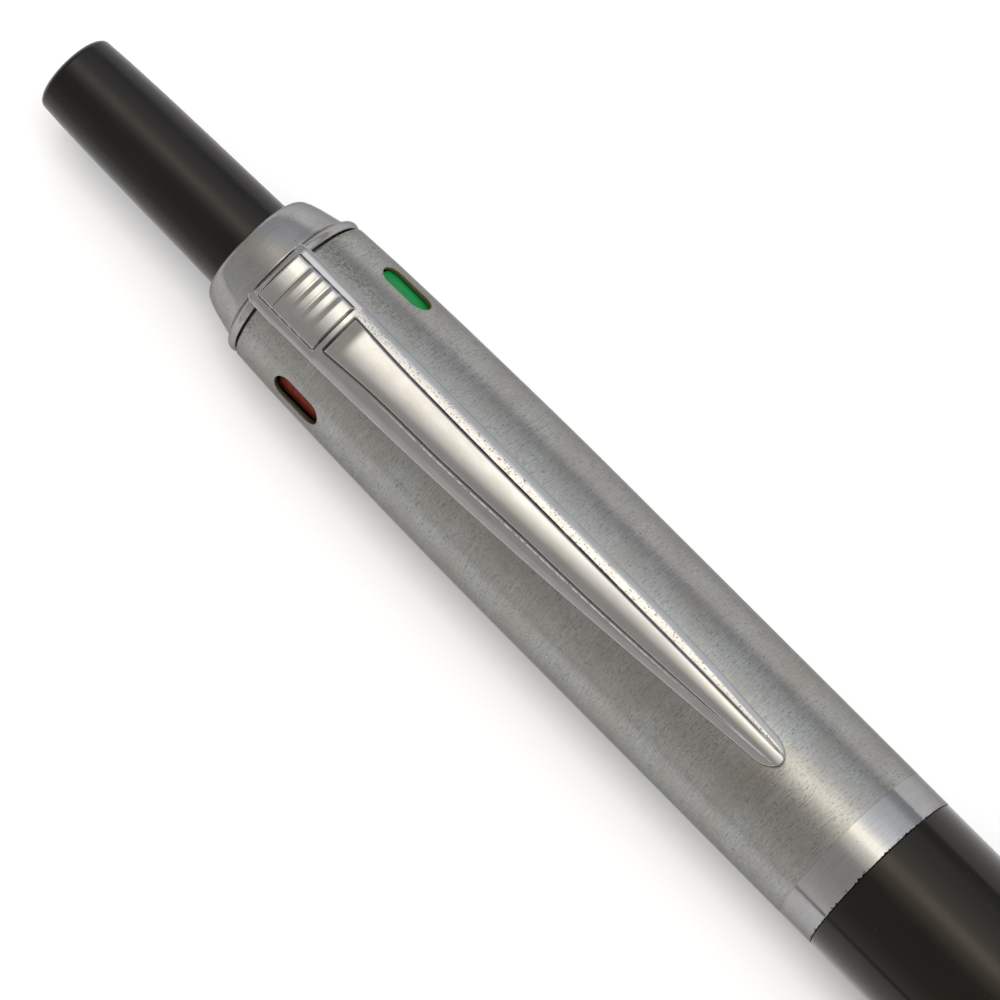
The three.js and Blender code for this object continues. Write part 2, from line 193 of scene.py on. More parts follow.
# How far a point is outside the edge of a colour window, in metres
def addWindowEdge(tree, turn):
    angle = math.radians(turn)
    fromCentre = addNode(tree, "ShaderNodeVectorMath", {0: addPoint(tree), 1: place(window["station"])},
                         operation="SUBTRACT").outputs[0]

    def reachAlong(direction):
        return addNode(tree, "ShaderNodeVectorMath", {0: fromCentre, 1: direction},
                       operation="DOT_PRODUCT").outputs["Value"]

    side = reachAlong((0, math.cos(angle), -math.sin(angle)))
    outwards = reachAlong((0, math.sin(angle), math.cos(angle)))
    straightHalf = (window["length"] - window["width"]) / 2 * mm
    lengthwise = addMath(tree, "ABSOLUTE", addSplit(tree, fromCentre)["X"])
    past = addLarger(tree, addMath(tree, "SUBTRACT", lengthwise, straightHalf), 0.0)
    squares = addMath(tree, "ADD", addProduct(tree, past, past), addProduct(tree, side, side))
    distance = addMath(tree, "SUBTRACT", addMath(tree, "SQRT", squares), window["width"] / 2 * mm)
    onOtherSide = addMath(tree, "LESS_THAN", outwards, 0.0)
    return addMath(tree, "ADD", distance, onOtherSide)


# Materials. Ranges of noise are shares from 0 to 1, and other lengths are in millimetres.

edgeTint = (0.5, 0.5, 0.5, 1)   # worn metal mirrors less towards its outline than a fresh one

# The three colour windows in the cap
window = {
    # the red window's walls get a darker colour, which is painted shade
    "station": 27.1, "length": 4.0, "width": 2.0, "wallsInShade": "red",
    # a cut's edge is rounded off: depth and spread, in rims
    "rim": 0.07, "rimProfile": [[-1.4, 0], [-0.6, 0.12], [-0.2, 0.4], [0, 0.8], [0.5, 1.8]],
    "cutFrom": -1.5, "cutTo": 0.6, "arcSteps": 16,
}

# Grime on the cap. It fades out from one station to another along the pen.
# The windows' walls are coloured olive, and those of one window darker still, as painted shade.
grimeAndShade = {
    "colour": 0x5a5232,
    "byBead": (21.4, 22.3), "towardsHead": (24, 36),
    "besideClip": 3.2, "besideClipWidth": 0.95, "roundWindow": 0.16,
    "wallDepth": (0.008, 0.03), "wall": 0x7c7657, "shadedWall": 0x5a5648,
    "pitScale": 1500.0, "pitSize": (0.05, 0.085),
}


# Stainless steel, brushed round the tube: fine lines round the pen, and a highlight that spreads
# lengthwise, across the lines. Grime stays by the bead, beside the clip's head and round the
# windows. The windows' walls are olive, and darker in the red window as painted shade.
def brushedSteel():
    material, tree = newMaterial("brushedStainlessSteel", {
        "Metallic": 1.0, "Roughness": 0.35, "Anisotropic": 0.65, "Specular Tint": edgeTint,
    })
    addTangentAlongPen(tree)
    # the brush leaves lines of about 0.02 mm, drawn at 0.05 mm so that they show, and dark dashes
    lines = addNoise(tree, 0.05, 1.3, detail=1)
    dashes = addRange(tree, addNoise(tree, 0.05, 0.28, detail=0), 0.25, 0.45)
    tone = addMath(tree, "ADD", addProduct(tree, addRange(tree, lines, 0.3, 0.7), 0.45),
                   addProduct(tree, dashes, 0.55))
    steel = addMix(tree, tone, 0x6a6a69, 0xa2a3a1)
    cloud = addNoise(tree, 3, 3, detail=4, roughness=0.6)
    cloudy = addMix(tree, addRange(tree, cloud, 0.38, 0.7, 0.0, 0.55), steel, 0x8d8780)

    point = addPoint(tree)
    split = addSplit(tree, point)
    along, across = split["X"], split["Y"]

    def fadeOut(first, last):
        return addRange(tree, along, place(first).x, place(last).x, 1.0, 0.0)

    speckle = addNoise(tree, 0.16, 0.16, detail=4, roughness=0.7)
    atBead = addProduct(tree, fadeOut(*grimeAndShade["byBead"]),
                        addRange(tree, speckle, 0.5, 0.6, 0.0, 0.85, True))
    fromLine = addMath(tree, "ABSOLUTE", addMath(tree, "SUBTRACT", across, grimeAndShade["besideClip"] * mm))
    besideClip = addRange(tree, fromLine, 0.0, grimeAndShade["besideClipWidth"] * mm, 1.0, 0.0)
    atHead = addProduct(tree, addRange(tree, speckle, 0.46, 0.64, 0.0, 0.85, True),
                        addProduct(tree, besideClip, fadeOut(*grimeAndShade["towardsHead"])))
    grime = addLarger(tree, atBead, atHead)
    walls, shadedWalls = 0.0, 0.0
    for colour, turn in colourTurns.items():
        edge = addWindowEdge(tree, turn)
        near = addRange(tree, edge, 0.0, grimeAndShade["roundWindow"] * mm, 1.0, 0.0)
        grime = addLarger(tree, grime, addProduct(
            tree, near, addRange(tree, speckle, 0.5, 0.66, 0.0, 0.9, True)))
        wall = addRange(tree, edge, *(depth * mm for depth in grimeAndShade["wallDepth"]), 1.0, 0.0)
        walls = addLarger(tree, wall, walls)
        # painted shade: the red window's walls are coloured darker than the others
        if colour == window["wallsInShade"]:
            shadedWalls = wall
    pits = addNode(tree, "ShaderNodeTexVoronoi",
                   {"Vector": point, "Scale": grimeAndShade["pitScale"], "Randomness": 1.0})
    rare = addRange(tree, addNoise(tree, 3, 3, detail=1, offset=(7, 3, 5)), 0.44, 0.56, smooth=True)
    pit = addRange(tree, pits.outputs["Distance"], *grimeAndShade["pitSize"], 0.9, 0.0)
    dark = addLarger(tree, grime, addProduct(tree, pit, rare))
    dirty = addMix(tree, dark, cloudy, grimeAndShade["colour"])
    # olive window walls, and painted shade on the red window's walls
    walled = addMix(tree, shadedWalls, addMix(tree, walls, dirty, grimeAndShade["wall"]), grimeAndShade["shadedWall"])
    rough = addRange(tree, lines, 0.3, 0.7, 0.31, 0.39)
    worn = addProduct(tree, addLarger(tree, dark, walls), 0.25)
    setInput(tree, "Base Color", walled)
    setInput(tree, "Roughness", addMath(tree, "ADD", rough, worn))
    addBump(tree, lines, 0.12, 0.008)
    return material


# Stainless steel, turned and polished: a dull mirror with hairlines round it, where years of
# handling have left a faint brown cast and small pits. The edge at a chipped station is ragged.
def polishedSteel(name, roughness, stain, chipped=None):
    material, tree = newMaterial(name, {
        "Metallic": 1.0, "Roughness": roughness, "Anisotropic": 0.4, "Specular Tint": edgeTint,
    })
    addTangentAlongPen(tree)
    fine = addNoise(tree, 0.07, 1.6, detail=3, roughness=0.6)
    cloud = addNoise(tree, 1.6, 1.6, detail=4, roughness=0.65)
    speckle = addNoise(tree, 0.2, 0.2, detail=3, roughness=0.7, offset=(3, 1, 8))
    steel = addMix(tree, addRange(tree, fine, 0.3, 0.7), 0x949495, 0xa0a0a1)
    stained = addMix(tree, addRange(tree, cloud, 0.45, 0.72, 0.0, stain), steel, 0x8d8379)
    marks = addRange(tree, speckle, 0.66, 0.71, 0.0, min(1, stain * 1.8), True)
    if chipped is not None:
        ragged = addNoise(tree, 0.3, 0.22, detail=4, roughness=0.75, offset=(1, 5, 2))
        reach = addRange(tree, ragged, 0.5, 0.7, 0.0, 0.22 * mm)
        reached = addMath(tree, "ADD", addSplit(tree, addPoint(tree))["X"], reach)
        marks = addLarger(tree, marks, addMath(tree, "GREATER_THAN", reached, place(chipped).x))
    setInput(tree, "Base Color", addMix(tree, marks, stained, 0x2c2620))
    setInput(tree, "Roughness", addRange(tree, cloud, 0.3, 0.7, roughness * 0.85, roughness * 1.3))
    addBump(tree, fine, 0.12, 0.006)
    return material


# Chrome plate on pressed steel: the brightest mirror on the pen, with a little haze and a few pits.
# It is rubbed through beside the ridge. Painted shade darkens the crease along it and the rear
# edge, and a painted highlight brightens the lip there.
def chromePlate():
    material, tree = newMaterial("chromePlatedSteel", {
        "Metallic": 1.0, "Roughness": 0.12, "Specular Tint": edgeTint,
    })
    haze = addNoise(tree, 1.6, 0.8, detail=4, roughness=0.6)
    speckle = addNoise(tree, 0.16, 0.16, detail=3, roughness=0.7)
    speck = addRange(tree, speckle, 0.69, 0.74, 0.0, 0.8, True)
    chrome = addMix(tree, addRange(tree, haze, 0.35, 0.7), 0xa8a8aa, 0xa1a09e)
    rubbed = addProduct(tree, addAttribute(tree, "wornStrip"),
                        addRange(tree, speckle, 0.54, 0.64, 0.0, 0.75, True))
    spotted = addMix(tree, addLarger(tree, speck, rubbed), chrome, 0x5a4a38)
    ragged = addRange(tree, addNoise(tree, 0.7, 0.2, detail=3, roughness=0.7), 0.3, 0.5, 0.45)
    # painted shade: dark along the crease and under the clip's rear edge
    creased = addMix(tree, addProduct(tree, addAttribute(tree, "creaseShade"), ragged), spotted, 0x352f29)
    flecks = addRange(tree, addNoise(tree, 0.3, 0.1, detail=4, roughness=0.7, offset=(4, 4, 9)),
                      0.4, 0.54)
    # painted highlight: white flecks on the lip beside the crease
    lit = addMix(tree, addProduct(tree, addAttribute(tree, "paintedLipHighlight"), flecks), creased, 0xffffff)
    setInput(tree, "Base Color", lit)
    setInput(tree, "Roughness", addRange(tree, haze, 0.3, 0.75, 0.09, 0.17))
    addBump(tree, haze, 0.05, 0.02)
    return material


# ABS, moulded with a matt skin: nearly black, with a wide dull highlight
def mattAbs():
    material, tree = newMaterial("mattBlackAbs", {
        "Roughness": 0.27, "IOR": 1.35, "Specular Tint": (1.0, 0.93, 0.9, 1.0),
    })
    grain = addNoise(tree, 0.12, 0.12, detail=3, roughness=0.6)
    wear = addNoise(tree, 3.5, 2, detail=3)
    setInput(tree, "Base Color", addMix(tree, wear, 0x080808, 0x0d0c0b))
    setInput(tree, "Roughness", addRange(tree, wear, 0.3, 0.7, 0.24, 0.31))
    addBump(tree, grain, 0.18, 0.01)
    return material


# Black lacquer on a brass tube: smooth and glossy, with a warm tone in the light and fine specks
def blackLacquer():
    material, tree = newMaterial("blackLacquer", {
        "Roughness": 0.13, "IOR": 1.38, "Specular Tint": (1.0, 0.9, 0.8, 1.0),
    })
    haze = addNoise(tree, 5, 1.2, detail=3)
    speckle = addNoise(tree, 0.3, 0.3, detail=3, roughness=0.7)
    speck = addRange(tree, speckle, 0.69, 0.74, 0.0, 0.8, True)
    lacquer = addMix(tree, haze, 0x020202, 0x060505)
    setInput(tree, "Base Color", addMix(tree, speck, lacquer, 0x37322d))
    setInput(tree, "Roughness", addRange(tree, haze, 0.3, 0.7, 0.1, 0.18))
    addBump(tree, haze, 0.03, 0.02)
    return material


# Acetal, moulded and dyed: a waxy half gloss
def dyedAcetal(name, light, dark):
    material, tree = newMaterial(name, {"Roughness": 0.5, "IOR": 1.4, "Specular IOR Level": 0.2})
    cloud = addNoise(tree, 0.6, 0.6, detail=4, roughness=0.65)
    setInput(tree, "Base Color", addMix(tree, addRange(tree, cloud, 0.4, 0.65), light, dark))
    addBump(tree, cloud, 0.1, 0.01)
    return material


# Metal turned on a lathe: fine tool lines round the part
def turnedMetal(name, light, dark, roughness):
    material, tree = newMaterial(name, {"Metallic": 1.0, "Roughness": roughness, "Anisotropic": 0.3})
    addTangentAlongPen(tree)
    lines = addNoise(tree, 0.09, 2.5, detail=2, roughness=0.6)
    setInput(tree, "Base Color", addMix(tree, addRange(tree, lines, 0.3, 0.7), light, dark))
    addBump(tree, lines, 0.15, 0.008)
    return material


# Polypropylene ink tube, with the ink's colour seen through it
def inkTube(name, light, dark):
    material, tree = newMaterial(name, {
        "Roughness": 0.3, "IOR": 1.49, "Subsurface Weight": 0.15,
        "Subsurface Radius": (0.6 * mm, 0.6 * mm, 0.6 * mm),
    })
    streak = addNoise(tree, 4, 0.7, detail=2)
    setInput(tree, "Base Color", addMix(tree, streak, light, dark))
    addBump(tree, streak, 0.03, 0.01)
    return material


finishes = {
    "brushed": brushedSteel(),
    "polished": polishedSteel("polishedStainlessSteel", 0.15, 0.25),
    "band": polishedSteel("polishedBandSteel", 0.13, 0.3, chipped=75.3),
    "collar": polishedSteel("dulledStainlessSteel", 0.24, 0.5),
    "chrome": chromePlate(),
    "button": mattAbs(),
    "lacquer": blackLacquer(),
    "brass": turnedMetal("turnedBrass", 0xcaa864, 0xb18d4c, 0.3),
    "wire": turnedMetal("springSteelWire", 0xa6a8ab, 0x85878a, 0.26),
    "housing": dyedAcetal("blackAcetal", 0x2c2d30, 0x232427),
    "green": dyedAcetal("greenAcetal", 0x00783a, 0x006e36),
    "red": dyedAcetal("redAcetal", 0x7e3426, 0x5c271c),
    "blue": dyedAcetal("blueAcetal", 0x1f4fa8, 0x1a4390),
    "greenInk": inkTube("greenInkTube", 0x1f8544, 0x176a36),
    "redInk": inkTube("redInkTube", 0xb02a2c, 0x8e2024),
    "blueInk": inkTube("blueInkTube", 0x24418c, 0x1b3270),
}
print("materials ready")


# Geometry Nodes trees

def newGeometryTree(name, inputs):
    tree = bpy.data.node_groups.new(name, "GeometryNodeTree")
    tree.interface.new_socket("Geometry", in_out="OUTPUT", socket_type="NodeSocketGeometry")
    for label, kind in inputs.items():
        tree.interface.new_socket(label, in_out="INPUT", socket_type=f"NodeSocket{kind}")
    return tree, addNode(tree, "NodeGroupInput").outputs


def addStep(tree, kind, inputs):
    return addNode(tree, f"GeometryNode{kind}", inputs).outputs[0]


def endTree(tree, given, geometry):
    real = addNode(tree, "GeometryNodeRealizeInstances", {"Geometry": geometry})
    finished = addNode(tree, "GeometryNodeSetMaterial",
                       {"Geometry": real.outputs[0], "Material": given["Finish"]})
    addNode(tree, "NodeGroupOutput", {0: finished.outputs[0]})
    return tree


quarterTurn = (0, math.pi / 2, 0)    # lays what stands along Z along the pen


# Turns an outline round the pen's axis, as a lathe does. The outline's points stand off the hub.
def latheTree():
    tree, given = newGeometryTree("turnedOnLathe", {
        "Outline": "Geometry", "Sides": "Int", "Hub Radius": "Float", "Finish": "Material",
    })
    outline = addStep(tree, "MeshToCurve", {"Mesh": given["Outline"]})
    hub = addStep(tree, "CurvePrimitiveCircle",
                  {"Resolution": given["Sides"], "Radius": given["Hub Radius"]})
    upright = addStep(tree, "Transform", {"Geometry": hub, "Rotation": quarterTurn})
    swept = addStep(tree, "CurveToMesh", {"Curve": upright, "Profile Curve": outline})
    return endTree(tree, given, addStep(tree, "MergeByDistance", {"Geometry": swept, "Distance": 1e-7}))


# Winds a wire at an even pitch along X, for springs and screw threads
def coilTree():
    tree, given = newGeometryTree("woundCoil", {
        "Turns": "Float", "Steps": "Int", "Radius": "Float", "Length": "Float", "Wire Radius": "Float",
        "Wire Sides": "Int", "Start": "Vector", "Finish": "Material",
    })
    path = addStep(tree, "CurveSpiral", {
        "Resolution": given["Steps"], "Rotations": given["Turns"], "Start Radius": given["Radius"],
        "End Radius": given["Radius"], "Height": given["Length"],
    })
    wire = addStep(tree, "CurvePrimitiveCircle",
                   {"Resolution": given["Wire Sides"], "Radius": given["Wire Radius"]})
    swept = addStep(tree, "CurveToMesh", {"Curve": path, "Profile Curve": wire, "Fill Caps": True})
    return endTree(tree, given, addStep(tree, "Transform", {
        "Geometry": swept, "Rotation": quarterTurn, "Translation": given["Start"],
    }))


trees = {"lathe": latheTree(), "coil": coilTree()}


def runTree(source, tree, values):
    modifier = source.modifiers.new(tree.name, "NODES")
    modifier.node_group = tree
    for item in tree.interface.items_tree:
        if item.in_out == "INPUT" and item.name in values:
            modifier[item.identifier] = values[item.name]
    return bakedMesh(source)


def bakedMesh(source):
    graph = bpy.context.evaluated_depsgraph_get()
    mesh = bpy.data.meshes.new_from_object(source.evaluated_get(graph))
    bpy.data.objects.remove(source)
    return mesh


def newObject(name, mesh):
    thing = bpy.data.objects.new(name, mesh)
    bpy.context.scene.collection.objects.link(thing)
    return thing


# Mesh helpers

def facedOutwards(mesh):
    shape = bmesh.new()
    shape.from_mesh(mesh)
    if shape.calc_volume(signed=True) < 0:
        mesh.flip_normals()
    shape.free()
    return mesh


# Value at a station on a smooth line through [station, value] pairs, without overshoot
def curveAt(pairs, station):
    places, values = np.array(pairs, float).T
    slopes = np.diff(values) / np.diff(places)
    tangents = np.concatenate([[slopes[0]], (slopes[1:] + slopes[:-1]) / 2, [slopes[-1]]])
    turning = np.concatenate([[False], slopes[1:] * slopes[:-1] <= 0, [False]])
    tangents[turning] = 0
    k = int(np.clip(np.searchsorted(places, station) - 1, 0, len(slopes) - 1))
    width = places[k + 1] - places[k]
    t = np.clip((station - places[k]) / width, 0, 1)
    return ((2 * t ** 3 - 3 * t ** 2 + 1) * values[k] + (t ** 3 - 2 * t ** 2 + t) * width * tangents[k]
            + (3 * t ** 2 - 2 * t ** 3) * values[k + 1] + (t ** 3 - t ** 2) * width * tangents[k + 1])


# An outline's points, with each corner rounded off
def rounded(outline, closed, steps=6):
    points = [Vector(corner[:2]) for corner in outline]
    result = []
    for k, corner in enumerate(outline):
        here = points[k]
        atEnd = not closed and k in (0, len(outline) - 1)
        if len(corner) < 3 or atEnd:
            result.append(here)
            continue
        before = points[k - 1] - here
        after = points[(k + 1) % len(points)] - here
        trim = min(corner[2], before.length * 0.48, after.length * 0.48)
        first = here + before.normalized() * trim
        last = here + after.normalized() * trim
        for i in range(steps + 1):
            t = i / steps
            result.append(first.lerp(here, t).lerp(here.lerp(last, t), t))
    return np.array(result)


# Sets the true normals of a turned surface, and leaves cut faces to Blender. A face is part of the
# surface when its middle is within a gap in millimetres of the outline and its normal agrees.
def setTurnedNormals(mesh, outline, closed, sharpAngle=40, gap=0.03, agreement=0.9):
    onAxis, tiny = 1e-3, 1e-9
    starts = outline if closed else outline[:-1]
    ends = np.roll(outline, -1, axis=0) if closed else outline[1:]
    steps = ends - starts
    lengths = np.linalg.norm(steps, axis=1)
    flats = np.stack([-steps[:, 1], steps[:, 0]], axis=1) / lengths[:, None]

    # each step's normal, blended with that of a neighbour unless the corner between them is sharp
    def jointNormals(shift, loose):
        others = np.roll(flats, shift, axis=0)
        blends = flats * lengths[:, None] + others * np.roll(lengths, shift)[:, None]
        blends = blends / np.maximum(np.linalg.norm(blends, axis=1), tiny)[:, None]
        smooth = np.einsum("ij,ij->i", flats, others) >= math.cos(math.radians(sharpAngle))
        smooth[loose] &= closed
        return np.where(smooth[:, None], blends, flats)

    startNormals, endNormals = jointNormals(1, 0), jointNormals(-1, -1)
    points = (np.array([v.co for v in mesh.vertices]) - (rearEnd, 0, axisHeight)) / mm
    spots = np.stack([points[:, 0], np.linalg.norm(points[:, 1:], axis=1)], axis=1)
    normals = []
    for face in mesh.polygons:
        corners = list(face.vertices)
        middle = spots[corners].mean(axis=0)
        along = np.clip(np.einsum("ij,ij->i", middle - starts, steps) / lengths ** 2, 0, 1)
        gaps = np.linalg.norm(starts + along[:, None] * steps - middle, axis=1)
        k = int(gaps.argmin())
        outward = points[corners, 1:].mean(axis=0)
        outward = outward / max(np.linalg.norm(outward), tiny)
        agree = face.normal.x * flats[k][0] + np.array(face.normal.yz) @ outward * flats[k][1]
        if gaps[k] > gap or abs(agree) < agreement:
            normals.extend([(0, 0, 0)] * len(corners))
            continue
        sign = 1 if agree > 0 else -1
        for corner in corners:
            t = np.clip((spots[corner] - starts[k]) @ steps[k] / lengths[k] ** 2, 0, 1)
            flat = sign * (startNormals[k] * (1 - t) + endNormals[k] * t)
            radial = outward if spots[corner][1] < onAxis else points[corner, 1:]
            radial = radial / max(np.linalg.norm(radial), tiny)
            normals.append(Vector((flat[0], *(flat[1] * radial))).normalized())
    mesh.normals_split_custom_set(normals)


def smoothShaded(mesh, sharpAngle=35):
    mesh.shade_smooth()
    mesh.set_sharp_from_angle(angle=math.radians(sharpAngle))
    return mesh


def turnedMesh(name, shape, finish):
    closed = shape["outline"][0][1] > 0
    points = rounded(shape["outline"], closed)
    hub = 1.0     # millimetres
    corners = [(rearEnd + s * mm, (r - hub) * mm, 0) for s, r in points]
    edges = [(k, k + 1) for k in range(len(corners) - 1)]
    if closed:
        edges.append((len(corners) - 1, 0))
    wire = bpy.data.meshes.new(name)
    wire.from_pydata(corners, edges, [])
    mesh = runTree(newObject(name, wire), trees["lathe"],
                   {"Sides": shape["sides"], "Hub Radius": hub * mm, "Finish": finishes[finish]})
    mesh.transform(Matrix.Translation((0, 0, axisHeight)))
    return facedOutwards(mesh), points, closed


# Cuts, joins or trims a mesh with others, given as pairs of an operation and a mesh
def carved(name, mesh, tools):
    work = newObject(name, mesh)
    helpers = []
    for operation, tool in tools:
        helper = newObject(name + "Tool", tool)
        helpers.append(helper)
        modifier = work.modifiers.new("carve", "BOOLEAN")
        modifier.operation = operation
        modifier.solver = "EXACT"
        modifier.object = helper
    result = bakedMesh(work)
    for helper in helpers:
        bpy.data.objects.remove(helper)
    return result


def addPiece(name, mesh, finish, body, nodes):
    mesh.materials.clear()
    mesh.materials.append(finishes[finish])
    mesh.polygons.foreach_set("material_index", [0] * len(mesh.polygons))
    piece = newObject(name, mesh)
    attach(piece, body)
    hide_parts(*nodes)
    return piece


def turnedPiece(name, shape, finish, body, nodes, tools=(), move=None):
    mesh, points, closed = turnedMesh(name, shape, finish)
    if tools:
        mesh = carved(name, mesh, tools)
    smoothShaded(mesh)
    setTurnedNormals(mesh, points, closed)
    if move is not None:
        mesh.transform(move)
    return addPiece(name, mesh, finish, body, nodes)


def blockMesh(low, high):
    x0, y0, z0 = place(*low)
    x1, y1, z1 = place(*high)
    corners = [(x, y, z) for x in (x0, x1) for y in (y0, y1) for z in (z0, z1)]
    faces = [(0, 1, 3, 2), (4, 6, 7, 5), (0, 4, 5, 1), (2, 3, 7, 6), (0, 2, 6, 4), (1, 5, 7, 3)]
    mesh = bpy.data.meshes.new("block")
    mesh.from_pydata(corners, [], faces)
    return facedOutwards(mesh)


def cornerBevelled(name, mesh, width, segments=2, sharpAngle=40):
    work = newObject(name, mesh)
    bevel = work.modifiers.new("edges", "BEVEL")
    bevel.width = width * mm
    bevel.segments = segments
    bevel.limit_method = "ANGLE"
    bevel.angle_limit = math.radians(sharpAngle)
    return bakedMesh(work)


# Turns things made at the top of the pen round its axis, in degrees towards +Y
def turnAbout(degrees):
    centre = Matrix.Translation((0, 0, axisHeight))
    return centre @ Matrix.Rotation(-math.radians(degrees), 4, "X") @ centre.inverted()


def raisedBy(height):
    return Matrix.Translation((0, 0, height * mm))


# Wire or thread wound along X, from the coil tree's inputs
def coilMesh(name, values):
    return facedOutwards(runTree(newObject(name, bpy.data.meshes.new(name)), trees["coil"], values))


# Closed mesh through rows of points: an upper and a lower sheet that share their outline
def shellMesh(name, upper, lower):
    rows, columns = len(upper), len(upper[0])
    points = [p for row in upper for p in row] + [p for row in lower for p in row]
    below = rows * columns
    faces = []
    for i in range(rows - 1):
        for j in range(columns - 1):
            a = i * columns + j
            b, c, d = a + 1, a + columns + 1, a + columns
            faces.append((a, d, c, b))
            faces.append((below + a, below + b, below + c, below + d))
        for j, flip in ((0, False), (columns - 1, True)):
            a, d = i * columns + j, (i + 1) * columns + j
            wall = (a, below + a, below + d, d)
            faces.append(wall[::-1] if flip else wall)
    for i, flip in ((0, True), (rows - 1, False)):
        for j in range(columns - 1):
            a = i * columns + j
            wall = (a, below + a, below + a + 1, a + 1)
            faces.append(wall[::-1] if flip else wall)
    mesh = bpy.data.meshes.new(name)
    mesh.from_pydata(points, [], faces)
    return facedOutwards(mesh)


# Push button. It stands a little crooked in the collar, as worn ones do.
button = {
    "outline": [
        [0, 0], [0, 2.6, 0.3], [0.3, 2.98, 0.2], [2.4, 3.1], [5.8, 3.22], [10.9, 3.34], [17.3, 3.48],
        [19.5, 3.5, 0.05], [19.5, 3.85, 0.05], [20.5, 3.85, 0.05], [20.5, 2.7], [1.5, 2.3], [1.5, 0],
    ],
    "sides": 160,
    "offsetAtEnd": -0.29,
    "offsetAtLip": -0.165,
    "lip": 17.3,
}


def makeButton():
    piece = turnedPiece("buttonCup", button, "button", "button", ["push_button"])
    slope = (button["offsetAtLip"] - button["offsetAtEnd"]) / button["lip"]
    lean = Matrix.Identity(4)
    lean[1][0] = slope
    lean[1][3] = button["offsetAtEnd"] * mm - slope * rearEnd
    piece.data.transform(lean)


makeButton()


# Crown collar: a polished cone with a rounded lip and a bead, which is notched under the clip
collar = {
    "outline": [
        [17.3, 3.7, 0.1], [17.3, 4.1, 0.25], [17.55, 4.4, 0.2], [18.1, 4.63], [18.7, 4.82], [19.5, 5.02],
        [20.36, 5.23, 0.1], [20.47, 5.15, 0.05], [20.6, 5.53, 0.15], [20.78, 5.72, 0.12],
        [21.07, 5.76, 0.15], [21.33, 5.6, 0.12], [21.33, 5.2], [23.8, 5.2], [23.8, 4.3], [19.2, 4.3],
        [19.2, 3.7, 0.05],
    ],
    "sides": 192,
    "notch": [[20.4, -2.3, 4.7], [21.6, 2.3, 7]],
}
turnedPiece("collarCone", collar, "collar", "upper", ["crown_collar"],
            [("DIFFERENCE", blockMesh(*collar["notch"]))])
print("button and collar ready")


# Cap tube: brushed steel with three windows and the slot for the clip's foot
cap = {
    # the outside, then the inside
    "outline": [
        [21.45, 5.58, 0.05], [21.56, 5.72, 0.08], [25, 5.89], [28, 5.98], [31, 6.06], [34, 6.12],
        [37, 6.175], [40, 6.22], [43, 6.245], [46, 6.25], [60, 6.25], [72.535, 6.25, 0.008],
        [72.535, 5.5], [62, 5.5], [61.6, 5.66], [24.9, 5.66], [24.4, 5.45], [21.45, 5.35],
    ],
    "outsideCorners": 12,
    "sides": 192,
    "clipSlot": [[22.2, -1.7, 4], [24.2, 1.7, 8]],
}


def windowCutter(turn):
    half = (window["length"] - window["width"]) / 2
    rim = window["rim"]
    profile = [(depth * rim, spread * rim) for depth, spread in window["rimProfile"]]
    levels = [(window["cutFrom"], 0), *profile, (window["cutTo"], profile[-1][1])]
    around = []
    for centre, first in ((half, -90), (-half, 90)):
        for step in range(window["arcSteps"] + 1):
            angle = math.radians(first + step * 180 / window["arcSteps"])
            around.append((centre, math.cos(angle), math.sin(angle)))
    outer = [corner[:2] for corner in cap["outline"][:cap["outsideCorners"]]]
    reach = curveAt(outer, window["station"])
    points = []
    for depth, spread in levels:
        radius = window["width"] / 2 + spread
        for centre, lengthwise, sidewise in around:
            station = window["station"] + centre + radius * lengthwise
            angle = math.radians(turn) + radius * sidewise / reach
            height = curveAt(outer, station) + depth
            points.append(place(station, height * math.sin(angle), height * math.cos(angle)))
    count = len(around)
    faces = [tuple(range(count)), tuple(range(len(points) - count, len(points)))[::-1]]
    for level in range(len(levels) - 1):
        for k in range(count):
            a, b = level * count + k, level * count + (k + 1) % count
            faces.append((b, a, a + count, b + count))
    mesh = bpy.data.meshes.new("windowCutter")
    mesh.from_pydata(points, [], faces)
    return facedOutwards(mesh)


cutters = [windowCutter(turn) for turn in colourTurns.values()]
cutters.append(blockMesh(*cap["clipSlot"]))
turnedPiece("capShell", cap, "brushed", "upper", ["cap_tube"],
            [("DIFFERENCE", cutter) for cutter in cutters])


# Polished band at the cap's mouth
band = {
    "outline": [[72.54, 5.5], [72.54, 6.25, 0.008], [75.3, 6.25, 0.05], [75.3, 5.5]],
    "sides": 192,
}
turnedPiece("mouthBand", band, "band", "upper", ["mouth_ring"])
print("cap and band ready")


